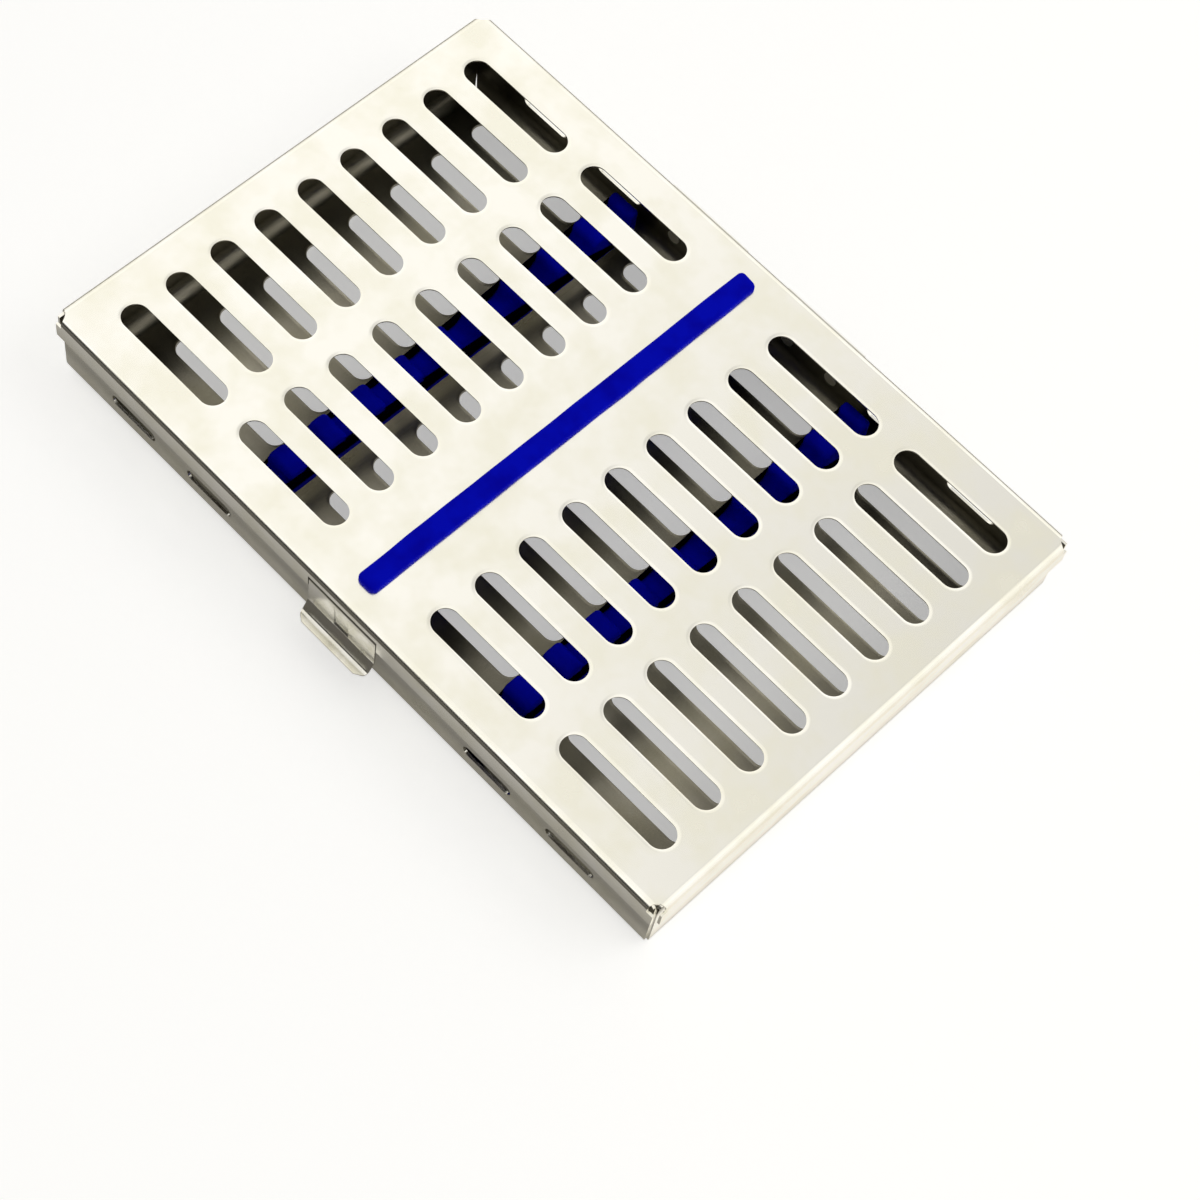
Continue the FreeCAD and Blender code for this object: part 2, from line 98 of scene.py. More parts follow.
NORMAL = "skin_normal"
WHITE = (1.0, 1.0, 1.0)
Point2 = tuple[float, float]
Triple = tuple[float, float, float]
Socket = bpy.types.NodeSocket


class Side(Enum):
    """The four walls of a pan: outward direction and the direction that runs along the wall."""

    FRONT = ((0, -1), (1, 0))
    BACK = ((0, 1), (-1, 0))
    LEFT = ((-1, 0), (0, -1))
    RIGHT = ((1, 0), (0, 1))

    @property
    def outward(self) -> Vector:
        """Unit vector out of the wall."""
        return Vector((*self.value[0], 0))

    @property
    def along(self) -> Vector:
        """Unit vector along the wall."""
        return Vector((*self.value[1], 0))

    @property
    def is_long(self) -> bool:
        """Whether the wall runs along X."""
        return self.value[0][0] == 0


class SheetPart(Enum):
    """Which part of a thickened sheet a face belongs to."""

    OUTER = 0
    INNER = 1
    EDGE = 2


# Finishes


@dataclass(frozen=True)
class PolishedSteel:
    """Electropolished stainless sheet with soft clouds and faint rolling lines."""

    name: str
    tint: Triple = (0.90, 0.885, 0.835)
    cloud_tint: Triple = (0.94, 0.935, 0.875)
    cloud_span: Point2 = (0.40, 0.64)
    cloud_size: float = 14 * MM
    roughness: float = 0.16
    cloud_roughness: float = 0.12
    rough_span: Point2 = (0.38, 0.7)
    ripple: float = 0.012 * MM
    line_size: float = 0.35 * MM
    line_depth: float = 0.0006 * MM
    line_stretch: Triple = (0.04, 1, 1)
    # Painted shade: when set, the colour darkens in hollows and inside the shut case, down to this
    # share.
    hollow_shade_least: float | None = None
    reach: float = 30 * MM

    def build(self) -> bpy.types.Material:
        """Make the material.

        Returns:
            The finished material.
        """
        kit = SurfaceKit(self.name)
        clouds = kit.noise(self.cloud_size, detail=3, roughness=0.55)
        lines = kit.noise(self.line_size, detail=2, roughness=0.5, stretch=self.line_stretch)
        clouded = tuple(c * f for c, f in zip(self.tint, self.cloud_tint))
        colour = kit.ramp(clouds, zip(self.cloud_span, (self.tint, clouded)))
        # Painted shade in hollows, driven by ambient occlusion.
        if self.hollow_shade_least is not None:
            colour = kit.paint_hollow_shade(colour, self.hollow_shade_least, self.reach)
        rough = (self.roughness, self.roughness + self.cloud_roughness)
        return kit.finish({
            "Metallic": 1.0,
            "Base Color": colour,
            "Roughness": kit.map_range(clouds, self.rough_span, rough),
            "Normal": kit.bump(lines, self.line_depth, kit.bump(clouds, self.ripple))})


@dataclass(frozen=True)
class MouldedSilicone:
    """Matte moulded silicone with a fine skin and slightly deeper colour in patches."""

    name: str
    colour: Triple = (0.0, 0.003, 0.74)
    deep: Triple = (0.0, 0.0, 0.56)
    patch_span: Point2 = (0.3, 0.6)
    patch_size: float = 6 * MM
    roughness: float = 0.6
    roughness_spread: float = 0.07
    specular: float = 0.05
    skin_span: Point2 = (0.3, 0.7)
    skin_size: float = 0.5 * MM
    skin_depth: float = 0.01 * MM

    def build(self) -> bpy.types.Material:
        """Make the material.

        Returns:
            The finished material.
        """
        kit = SurfaceKit(self.name)
        patches = kit.noise(self.patch_size, detail=2, roughness=0.5)
        skin = kit.noise(self.skin_size, detail=2, roughness=0.6)
        rough = (self.roughness - self.roughness_spread, self.roughness + self.roughness_spread)
        return kit.finish({
            "Specular IOR Level": self.specular,
            "Base Color": kit.ramp(patches, zip(self.patch_span, (self.deep, self.colour))),
            "Roughness": kit.map_range(skin, self.skin_span, rough),
            "Normal": kit.bump(skin, self.skin_depth)})


class NodeKit:
    """Small helper that fills one node tree."""

    def __init__(self, owner: bpy.types.Material | bpy.types.World) -> None:
        """Start from the owner's tree, emptied."""
        owner.use_nodes = True
        self.owner = owner
        self.tree = owner.node_tree
        self.tree.nodes.clear()

    def feed(self, target: Socket, value: Socket | float | Sequence[float]) -> None:
        """Give an input the socket that feeds it, or its own value."""
        if isinstance(value, Socket):
            self.tree.links.new(value, target)
        else:
            target.default_value = (*value, 1) if target.type == "RGBA" else value

    def node(self, kind: str, inputs: Mapping[str | int, object] | None = None,
             **settings: object) -> bpy.types.Node:
        """Add a node.

        Args:
            kind: its type, after the word ShaderNode.
            inputs: what each input is fed.
            settings: its other settings, such as the operation.

        Returns:
            The node.
        """
        made = self.tree.nodes.new("ShaderNode" + kind)
        for name, value in settings.items():
            setattr(made, name, value)
        for name, value in (inputs or {}).items():
            self.feed(made.inputs[name], value)
        return made

    def maths(self, operation: str, first: Socket, second: Socket | float = 0.0) -> Socket:
        """Number worked out from one or two others."""
        return self.node("Math", {0: first, 1: second}, operation=operation).outputs["Value"]

    def vectors(self, operation: str, first: Socket, second: Socket | Triple) -> Socket:
        """Vector or colour worked out from two others."""
        return self.node("VectorMath", {0: first, 1: second}, operation=operation).outputs["Vector"]

    def scaled(self, vector: Socket, factor: Socket) -> Socket:
        """Vector or colour times a number."""
        made = self.node("VectorMath", {0: vector, "Scale": factor}, operation="SCALE")
        return made.outputs["Vector"]

    def mix(self, factor: Socket, first: Socket | Triple, second: Socket | Triple) -> Socket:
        """Mix of two colours."""
        return self.node("Mix", {"Factor": factor, "A": first, "B": second},
                         data_type="RGBA").outputs["Result"]

    def ramp(self, source: Socket, stops: Iterable[tuple[float, Triple]]) -> Socket:
        """Colour ramp.

        Args:
            source: factor.
            stops: two or more pairs of place and colour.

        Returns:
            The colour socket.
        """
        made = self.node("ValToRGB", {"Fac": source})
        elements = made.color_ramp.elements
        pairs = list(stops)
        while len(elements) < len(pairs):
            elements.new(0.5)
        for element, (place, colour) in zip(elements, pairs):
            element.position = place
            element.color = (*colour, 1)
        return made.outputs["Color"]

    def map_range(self, source: Socket, span: Point2, result: Point2 = (0.0, 1.0)) -> Socket:
        """Map one range to another.

        Args:
            source: value to map.
            span: start and end of its range.
            result: what they become.

        Returns:
            The result socket.
        """
        return self.node("MapRange", {"Value": source, "From Min": span[0], "From Max": span[1],
                                      "To Min": result[0], "To Max": result[1]}).outputs["Result"]


class SurfaceKit(NodeKit):
    """Nodes of one material round its shader."""

    # Ambient occlusion settings of the painted hollow shade.
    SHUT_SAMPLES = 6
    SHUT_SPAN = (0.45, 1.0)

    def __init__(self, name: str) -> None:
        """Start a material of that name, with its shader and output."""
        super().__init__(bpy.data.materials.new(name))
        self.shader = self.node("BsdfPrincipled")
        self.node("OutputMaterial", {"Surface": self.shader.outputs["BSDF"]})
        self.place = self.node("TexCoord").outputs["Object"]

    def finish(self, inputs: Mapping[str, object]) -> bpy.types.Material:
        """Feed the shader's inputs and give back the material."""
        for name, value in inputs.items():
            self.feed(self.shader.inputs[name], value)
        return self.owner

    def noise(self, size: float, detail: float, roughness: float, stretch: Triple = (1, 1, 1)) -> Socket:
        """Noise on object coordinates.

        Args:
            size: size of its features.
            detail: octaves.
            roughness: weight of the finer octaves.
            stretch: factor on each axis; a small one draws the pattern out.

        Returns:
            The factor socket.
        """
        place = self.node("Mapping", {"Vector": self.place, "Scale": stretch}).outputs["Vector"]
        return self.node("TexNoise", {"Vector": place, "Scale": 1 / size, "Detail": detail,
                                      "Roughness": roughness}).outputs["Fac"]

    def paint_hollow_shade(self, colour: Socket, least: float, reach: float) -> Socket:
        """Painted shade: the colour is darkened where the surface faces other steel close by, as inside
        the shut case.

        Args:
            colour: colour in the open.
            least: share of the colour that is left in the deepest place.
            reach: how far away other surfaces still count.

        Returns:
            The colour socket.
        """
        open_share = self.node("AmbientOcclusion", {"Distance": reach}, samples=self.SHUT_SAMPLES)
        factor = self.map_range(open_share.outputs["AO"], self.SHUT_SPAN, (least, 1.0))
        return self.scaled(colour, factor)

    def bump(self, height: Socket, depth: float, below: Socket | None = None) -> Socket:
        """Bump of a real depth in metres.

        Args:
            height: height factor.
            depth: height of a factor of 1.
            below: normal that this bump adds to.

        Returns:
            The normal socket.
        """
        made = self.node("Bump", {"Height": height, "Distance": depth})
        if below is not None:
            self.feed(made.inputs["Normal"], below)
        return made.outputs["Normal"]


# Outlines


def quarter(steps: int) -> list[float]:
    """Angles of a quarter turn, in radians."""
    return [math.pi / 2 * i / steps for i in range(steps + 1)]


def stadium(length: float, width: float, steps: int, centre: Point2 = (0, 0),
            upright: bool = False) -> list[Point2]:
    """Closed outline of a round-ended slot.

    Args:
        length: overall length along the first axis.
        width: overall width.
        steps: segments of each round end.
        centre: middle of the slot.
        upright: whether the long way is along the second axis.

    Returns:
        The points in order.
    """
    radius = width / 2
    run = length / 2 - radius
    half = [(run + radius * math.sin(math.pi * i / steps), -radius * math.cos(math.pi * i / steps))
            for i in range(steps + 1)]
    points = half + [(-a, -b) for a, b in half]
    if upright:
        points = [(-b, a) for a, b in points]
    return [(a + centre[0], b + centre[1]) for a, b in points]


def inside(point: Point2, outline: Sequence[Point2]) -> bool:
    """Whether a point lies in a closed outline."""
    x, y = point
    hit = False
    for (x0, y0), (x1, y1) in zip(outline, [*outline[1:], outline[0]]):
        if (y0 > y) != (y1 > y) and x < (x1 - x0) * (y - y0) / (y1 - y0) + x0:
            hit = not hit
    return hit


def in_bounds(point: Point2, outline: Sequence[Point2]) -> bool:
    """Whether a point lies in the box round an outline."""
    xs = [p[0] for p in outline]
    ys = [p[1] for p in outline]
    return min(xs) <= point[0] <= max(xs) and min(ys) <= point[1] <= max(ys)


def arc(centre: Point2, radius: float, start: float, end: float, steps: int) -> list[Point2]:
    """Points of an arc from one angle to another, in radians."""
    angles = [start + (end - start) * i / steps for i in range(steps + 1)]
    return [(centre[0] + radius * math.cos(a), centre[1] + radius * math.sin(a)) for a in angles]


# Sheet metal


def to_mesh(work: bmesh.types.BMesh, name: str) -> bpy.types.Mesh:
    """Plain mesh of a finished shape, whose working copy is freed."""
    mesh = bpy.data.meshes.new(name)
    work.to_mesh(mesh)
    work.free()
    return mesh


class Skin:
    """Outer surface of a sheet: its points carry exact normals, so bends and flats meet smoothly."""

    EDGE_SMOOTH = math.radians(30)
    INSIDE_OUTLINES = 1
    SAME_POINT = 1e-5

    def __init__(self) -> None:
        """Start an empty skin."""
        self.mesh = bmesh.new()
        self.normal = self.mesh.verts.layers.float_vector.new(NORMAL)

    def point(self, place: Vector, normal: Vector) -> bmesh.types.BMVert:
        """Add a point with its normal."""
        vert = self.mesh.verts.new(place)
        vert[self.normal] = normal
        return vert

    def face(self, corners: Iterable[bmesh.types.BMVert]) -> None:
        """Add a face that looks the way its normals do."""
        loop = list(corners)
        made = self.mesh.faces.new(loop)
        made.normal_update()
        if made.normal.dot(sum((v[self.normal] for v in loop), Vector())) < 0:
            made.normal_flip()

    def grid(self, rows: Sequence[Sequence[tuple[Vector, Vector]]]) -> None:
        """Add a strip of quads.

        Args:
            rows: rows of places with their normals, all of one length.
        """
        made = [[self.point(*spot) for spot in row] for row in rows]
        for low, high in zip(made, made[1:]):
            for i in range(len(low) - 1):
                self.face((low[i], low[i + 1], high[i + 1], high[i]))

    def region(self, outline: Sequence[Point2], holes: Sequence[Sequence[Point2]],
               place: Callable[[float, float], Vector], normal: Vector) -> None:
        """Add a flat region with holes.

        Args:
            outline: its closed outline.
            holes: closed outlines of its holes.
            place: gives the place of a point of the outline.
            normal: its normal.
        """
        loops = [list(outline), *[list(hole) for hole in holes]]
        flat = [point for loop in loops for point in loop]
        edges = []
        start = 0
        for loop in loops:
            count = len(loop)
            edges += [(start + i, start + (i + 1) % count) for i in range(count)]
            start += count
        scaled = [Vector((a / MM, b / MM)) for a, b in flat]
        _, _, triangles, origins, _, _ = delaunay_2d_cdt(scaled, edges, [], self.INSIDE_OUTLINES,
                                                        self.SAME_POINT)
        verts = {}
        for triangle in triangles:
            indices = [origins[i][0] for i in triangle]
            middle = tuple(sum(flat[i][axis] for i in indices) / 3 for axis in (0, 1))
            if any(in_bounds(middle, hole) and inside(middle, hole) for hole in holes):
                continue
            if not inside(middle, outline):
                continue
            for i in indices:
                if i not in verts:
                    verts[i] = self.point(place(*flat[i]), normal)
            self.face([verts[i] for i in indices])

    def add(self, mesh: bpy.types.Mesh) -> None:
        """Add a mesh whose points carry their normals as an attribute."""
        self.mesh.from_mesh(mesh)

    def thicken(self, sheet: float) -> bpy.types.Mesh:
        """Close the skin into a sheet.

        Args:
            sheet: thickness, measured inwards along the normals.

        Returns:
            A closed mesh with exact normals.
        """
        work = self.mesh
        bmesh.ops.remove_doubles(work, verts=work.verts, dist=MERGE)
        part = work.faces.layers.int.new("sheet_part")
        outer_faces = list(work.faces)
        rims = [(e.link_loops[0].vert, e.link_loops[0].link_loop_next.vert)
                for e in work.edges if e.is_boundary]
        twins = {}
        for vert in list(work.verts):
            twin = work.verts.new(vert.co - vert[self.normal] * sheet)
            twin[self.normal] = -vert[self.normal]
            twins[vert] = twin
        for face in outer_faces:
            face[part] = SheetPart.OUTER.value
            face.material_index = SheetPart.OUTER.value
            made = work.faces.new([twins[v] for v in reversed(face.verts)])
            made[part] = SheetPart.INNER.value
            made.material_index = SheetPart.INNER.value
        for a, b in rims:
            made = work.faces.new((b, a, twins[a], twins[b]))
            made[part] = SheetPart.EDGE.value
        return self._finish(part)

    def _finish(self, part: bmesh.types.BMLayerItem) -> bpy.types.Mesh:
        """Write the mesh and its normals.

        Args:
            part: face layer that tells skins from cut edges.

        Returns:
            The mesh.
        """
        work = self.mesh
        work.normal_update()
        edge_value = SheetPart.EDGE.value
        normals = []
        for face in work.faces:
            for loop in face.loops:
                if face[part] != edge_value:
                    normals.append(loop.vert[self.normal].normalized())
                    continue
                near = [f.normal for f in loop.vert.link_faces if f[part] == edge_value
                        and f.normal.angle(face.normal, math.pi) < self.EDGE_SMOOTH]
                normals.append(sum(near, Vector()).normalized())
        work.faces.layers.int.remove(part)
        work.verts.layers.float_vector.remove(self.normal)
        mesh = to_mesh(work, "sheet")
        mesh.normals_split_custom_set(normals)
        return mesh


class RepeatTree:
    """Node tree that repeats a mesh on a grid of points."""

    INPUTS = (("Columns", "NodeSocketInt"), ("Rows", "NodeSocketInt"), ("Row Span", "NodeSocketFloat"),
              ("Column Span", "NodeSocketFloat"), ("Centre", "NodeSocketVector"),
              ("Material", "NodeSocketMaterial"))
    NODES = {"source": "NodeGroupInput", "grid": "GeometryNodeMeshGrid", "move": "GeometryNodeTransform",
             "copy": "GeometryNodeInstanceOnPoints", "real": "GeometryNodeRealizeInstances",
             "dress": "GeometryNodeSetMaterial", "output": "NodeGroupOutput"}
    LINKS = (("source", "Row Span", "grid", "Size X"), ("source", "Column Span", "grid", "Size Y"),
             ("source", "Rows", "grid", "Vertices X"), ("source", "Columns", "grid", "Vertices Y"),
             ("grid", "Mesh", "move", "Geometry"), ("source", "Centre", "move", "Translation"),
             ("move", "Geometry", "copy", "Points"), ("source", "Geometry", "copy", "Instance"),
             ("copy", "Instances", "real", "Geometry"), ("real", "Geometry", "dress", "Geometry"),
             ("source", "Material", "dress", "Material"), ("dress", "Geometry", "output", "Geometry"))

    def __init__(self) -> None:
        """Build the tree once."""
        self.group = bpy.data.node_groups.new("repeat_on_grid", "GeometryNodeTree")
        add = self.group.interface.new_socket
        add("Geometry", in_out="INPUT", socket_type="NodeSocketGeometry")
        self.sockets = {name: add(name, in_out="INPUT", socket_type=kind).identifier
                        for name, kind in self.INPUTS}
        add("Geometry", in_out="OUTPUT", socket_type="NodeSocketGeometry")
        nodes = {name: self.group.nodes.new(kind) for name, kind in self.NODES.items()}
        for start, given, end, taken in self.LINKS:
            self.group.links.new(nodes[start].outputs[given], nodes[end].inputs[taken])

    def repeat(self, mesh: bpy.types.Mesh, rows: tuple[int, float], columns: tuple[int, float],
               centre: Vector, material: bpy.types.Material) -> bpy.types.Mesh:
        """Repeat a mesh.

        Args:
            mesh: what is repeated, round the origin.
            rows: how many copies along X, and the distance from first to last.
            columns: how many copies along Y, and the distance from first to last.
            centre: middle of the grid.
            material: finish of the copies.

        Returns:
            One plain mesh with all the copies.
        """
        holder = bpy.data.objects.new("repeat", mesh)
        bpy.context.scene.collection.objects.link(holder)
        modifier = holder.modifiers.new("repeat", "NODES")
        modifier.node_group = self.group
        values = {"Columns": columns[0], "Rows": rows[0], "Row Span": rows[1],
                  "Column Span": columns[1], "Centre": tuple(centre), "Material": material}
        for name, value in values.items():
            modifier[self.sockets[name]] = value
        graph = bpy.context.evaluated_depsgraph_get()
        result = bpy.data.meshes.new_from_object(holder.evaluated_get(graph))
        bpy.data.objects.remove(holder)
        return result


def show(name: str, mesh: bpy.types.Mesh, materials: Sequence[bpy.types.Material], body: str,
         stands_for: Sequence[str] = ()) -> bpy.types.Object:
    """Put a finished mesh in the scene.

    Args:
        name: name of the piece.
        mesh: its mesh, in place.
        materials: its finishes, in the order of its faces' indices.
        body: the body that it rides on.
        stands_for: nodes that it replaces.

    Returns:
        The piece.
    """
    if len(materials) == 1:
        mesh.materials.clear()  # also puts every face back to the first finish
    for index, material in enumerate(materials):
        if index < len(mesh.materials):
            mesh.materials[index] = material
        else:
            mesh.materials.append(material)
    piece = bpy.data.objects.new(name, mesh)
    bpy.context.scene.collection.objects.link(piece)
    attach(piece, body)
    if stands_for:
        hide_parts(*stands_for)
    LOG.info("%s: %d faces on %s", name, len(mesh.polygons), body)
    return piece


@dataclass(frozen=True)
class SlotRow:
    """A mirrored pair of rows of long slots."""

    centre: float
    length: float


@dataclass
class FoldedPan:
    """Slotted sheet with four folded walls and open corners."""

    repeat: RepeatTree
    steel: bpy.types.Material
    inner_rough_shaded: bpy.types.Material
    node: str
    body: str
    rise: int
    bend_radius: float
    rows: tuple[SlotRow, ...]
    slot_width: float
    slot_pitch: float
    sheet: float = 0.7 * MM
    slot_count: int = 9
    rim_width: float = 1.0 * MM
    rim_depth: float = 0.12 * MM
    rim_rings: int = 5
    end_steps: int = 20
    bend_steps: int = 12
    low: Vector = field(init=False)
    high: Vector = field(init=False)

    def __post_init__(self) -> None:
        """Read the outer sizes from the frame."""
        self.low, self.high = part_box(self.node)

    @property
    def level(self) -> float:
        """Height of the outer face of the flat."""
        return self.low.z if self.rise > 0 else self.high.z

    @property
    def depth(self) -> float:
        """Height of the walls."""
        return self.high.z - self.low.z

    def halves(self, side: Side) -> tuple[float, float]:
        """Distance from the middle to the wall, and half the length of the pan along it."""
        if side.is_long:
            return self.high.y, self.high.x
        return self.high.x, self.high.y

    def place(self, side: Side, u: float, inset: float, w: float) -> Vector:
        """Point by its place along a wall, its distance inside it and its height from the flat.

        Args:
            side: the wall.
            u: place along the wall from its middle.
            inset: distance inwards from the wall's outer face.
            w: distance from the flat's outer face.

        Returns:
            The point.
        """
        out, _ = self.halves(side)
        return (side.outward * (out - inset) + side.along * u
                + Vector((0, 0, self.level + self.rise * w)))

    def corner_end(self, inset: float) -> float:
        """Distance from the pan's corner at which the bend ends, at one inset."""
        raise NotImplementedError

    def flat_corner(self) -> list[Point2]:
        """Outline of the flat at a corner, as distances from the two walls' outer faces."""
        raise NotImplementedError

    def wall_end(self, side: Side) -> list[Point2]:
        """Outline of a wall's end from the bend to the free edge, as distance and height."""
        raise NotImplementedError

    def wall_middle(self, side: Side) -> list[Point2]:
        """Points of the free edge between the wall's two ends."""
        return []

    def wall_holes(self, side: Side) -> list[list[Point2]]:
        """Holes in a wall."""
        return []

    def flat_holes(self) -> list[list[Point2]]:
        """Holes in the flat without a rim."""
        return []

    def add_bend(self, skin: Skin, side: Side) -> None:
        """Add the bend between the flat and one wall."""
        _, half = self.halves(side)
        rows = []
        for angle in quarter(self.bend_steps):
            inset = self.bend_radius * (1 - math.sin(angle))
            w = self.bend_radius * (1 - math.cos(angle))
            normal = side.outward * math.sin(angle) - Vector((0, 0, self.rise)) * math.cos(angle)
            end = half - self.corner_end(inset)
            rows.append([(self.place(side, u, inset, w), normal) for u in (-end, end)])
        skin.grid(rows)

    def add_wall(self, skin: Skin, side: Side) -> None:
        """Add one wall."""
        _, half = self.halves(side)
        end = [(half - distance, w) for distance, w in self.wall_end(side)]
        outline = end + self.wall_middle(side) + [(-u, w) for u, w in reversed(end)]
        skin.region(outline, self.wall_holes(side), lambda u, w: self.place(side, u, 0, w), side.outward)

    def add_flat(self, skin: Skin) -> None:
        """Add the flat with all its slots."""
        corner = self.flat_corner()
        near = [(self.high.x - a, self.high.y - b) for a, b in reversed(corner)]
        outline = (near + [(-x, y) for x, y in reversed(near)] + [(-x, -y) for x, y in near]
                   + [(x, -y) for x, y in reversed(near)])
        grown = 2 * self.rim_width
        holes = self.flat_holes()
        for row in self.rows:
            for sign in (-1, 1):
                for i in range(self.slot_count):
                    y = self.slot_pitch * (i - (self.slot_count - 1) / 2)
                    holes.append(stadium(row.length + grown, self.slot_width + grown, self.end_steps,
                                         (sign * row.centre, y)))
        down = Vector((0, 0, -self.rise))
        skin.region(outline, holes, lambda x, y: Vector((x, y, self.level)), down)

    def rim_mesh(self, length: float) -> bpy.types.Mesh:
        """Pressed rim of one slot round the origin, from the flat down to the slot's edge.

        Args:
            length: length of the slot.

        Returns:
            An open mesh whose points carry their normals.
        """
        skin = Skin()
        rows = []
        for ring in range(self.rim_rings + 1):
            t = ring / self.rim_rings
            grown = 2 * self.rim_width * (1 - t)
            slope = 2 * self.rim_depth * t / self.rim_width
            points = stadium(length + grown, self.slot_width + grown, self.end_steps)
            run = (length - self.slot_width) / 2
            row = []
            for x, y in [*points, points[0]]:
                away = Vector((x - max(-run, min(run, x)), y, 0)).normalized()
                normal = (Vector((0, 0, -self.rise)) - away * slope).normalized()
                row.append((Vector((x, y, self.rise * self.rim_depth * t * t)), normal))
            rows.append(row)
        skin.grid(rows)
        bmesh.ops.remove_doubles(skin.mesh, verts=skin.mesh.verts, dist=MERGE)
        return to_mesh(skin.mesh, "rim")

    def add_rims(self, skin: Skin) -> None:
        """Add the pressed rims of all the long slots."""
        span = self.slot_pitch * (self.slot_count - 1)
        for row in self.rows:
            rims = self.repeat.repeat(self.rim_mesh(row.length), (2, 2 * row.centre),
                                      (self.slot_count, span), Vector((0, 0, self.level)), self.steel)
            skin.add(rims)

    def build(self) -> None:
        """Build the pan and put it in the scene."""
        skin = Skin()
        self.add_flat(skin)
        self.add_rims(skin)
        for side in Side:
            self.add_bend(skin, side)
            self.add_wall(skin, side)
        # The inner faces take the rougher finish with painted shade.
        show(self.node + "_sheet", skin.thicken(self.sheet), [self.steel, self.inner_rough_shaded], self.body,
             [self.node])


@dataclass
class LidPan(FoldedPan):
    """Lid: skirts hang from the slotted top, with a bite at each corner and a notch for the latch."""

    node: str = "lid_plate"
    body: str = "lid"
    rise: int = -1
    bend_radius: float = 2.0 * MM
    rows: tuple[SlotRow, ...] = (SlotRow(32.5 * MM, 34.5 * MM), SlotRow(74.5 * MM, 34.5 * MM))
    slot_width: float = 7.2 * MM
    slot_pitch: float = 13.9 * MM
    bite: float = 3.2 * MM
    step: float = 2.7 * MM
    long_end: float = 1.3 * MM
    short_end: float = 1.7 * MM
    notch_half: float = 11.5 * MM
    notch_top: float = 3.2 * MM
    strip_slot: tuple[float, float] = (124.2 * MM, 4.6 * MM)
    bite_steps: int = 4

    def corner_end(self, inset: float) -> float:
        """Distance from the corner at which the round bite ends the bend."""
        return math.sqrt(self.bite ** 2 - inset ** 2)

    def flat_corner(self) -> list[Point2]:
        """Round bite between the two bends."""
        start = math.asin(self.bend_radius / self.bite)
        return arc((0, 0), self.bite, start, math.pi / 2 - start, self.bite_steps)

    def wall_end(self, side: Side) -> list[Point2]:
        """Step down from the bite to the skirt's end."""
        end = self.long_end if side.is_long else self.short_end
        return [(self.bite, self.bend_radius), (self.bite, self.step), (end, self.step),
                (end, self.depth)]

    def wall_middle(self, side: Side) -> list[Point2]:
        """Notch of the latch in the front skirt."""
        if side is not Side.FRONT:
            return []
        half = self.notch_half
        top = self.notch_top
        return [(half, self.depth), (half, top), (-half, top), (-half, self.depth)]

    def flat_holes(self) -> list[list[Point2]]:
        """Slot of the hold-down strip."""
        return [stadium(*self.strip_slot, self.end_steps, upright=True)]


@dataclass
class TrayPan(FoldedPan):
    """Tray: walls stand on the slotted floor, parted by a mitred slit at each corner."""

    node: str = "base_tray"
    body: str = "base"
    rise: int = 1
    bend_radius: float = 5.0 * MM
    rows: tuple[SlotRow, ...] = (SlotRow(17.85 * MM, 28.7 * MM), SlotRow(69.2 * MM, 37.8 * MM))
    slot_width: float = 5.8 * MM
    slot_pitch: float = 14.25 * MM
    slit: float = 0.9 * MM
    relief: float = 1.5 * MM
    relief_reach: float = 1.25 * MM
    top_corner: float = 2.5 * MM
    wall_slot: tuple[float, float] = (15.5 * MM, 3.7 * MM)
    wall_slot_level: float = 9.8 * MM
    wall_slot_places: tuple[float, ...] = (47.5 * MM, 74.5 * MM)
    catch_slot: tuple[float, float] = (7.5 * MM, 3.2 * MM)
    catch_level: float = 12.7 * MM
    rivet_x: float = 40.3 * MM
    rivet_y: tuple[float, ...] = (-45 * MM, 0.0, 45 * MM)
    rivet_hole: float = 1.82 * MM
    corner_steps: int = 5

    def corner_end(self, inset: float) -> float:
        """Distance from the corner at which the mitre, or the relief hole, ends the bend."""
        radius = self.bend_radius
        if radius - inset < self.relief_reach:
            return radius + math.sqrt(self.relief ** 2 - (radius - inset) ** 2)
        return inset + self.slit / math.sqrt(2)

    def flat_corner(self) -> list[Point2]:
        """Quarter of the relief hole."""
        return arc((self.bend_radius, self.bend_radius), self.relief, 0, math.pi / 2, self.corner_steps)

    def wall_end(self, side: Side) -> list[Point2]:
        """Straight end with a rounded upper corner."""
        distance = self.slit / math.sqrt(2)
        radius = self.top_corner
        corner = arc((distance + radius, self.depth - radius), radius, math.pi, math.pi / 2,
                     self.corner_steps)
        return [(distance, self.bend_radius), *corner]

    def wall_holes(self, side: Side) -> list[list[Point2]]:
        """Slots in the long walls, and the catch behind the latch."""
        if not side.is_long:
            return []
        holes = [stadium(*self.wall_slot, self.end_steps, (sign * u, self.wall_slot_level))
                 for u in self.wall_slot_places for sign in (-1, 1)]
        if side is Side.FRONT:
            holes.append(stadium(*self.catch_slot, self.end_steps, (0, self.catch_level)))
        return holes

    def flat_holes(self) -> list[list[Point2]]:
        """Holes of the flush rivets under the combs."""
        size = 2 * self.rivet_hole
        return [stadium(size, size, self.end_steps // 2, (sign * self.rivet_x, y))
                for sign in (-1, 1) for y in self.rivet_y]


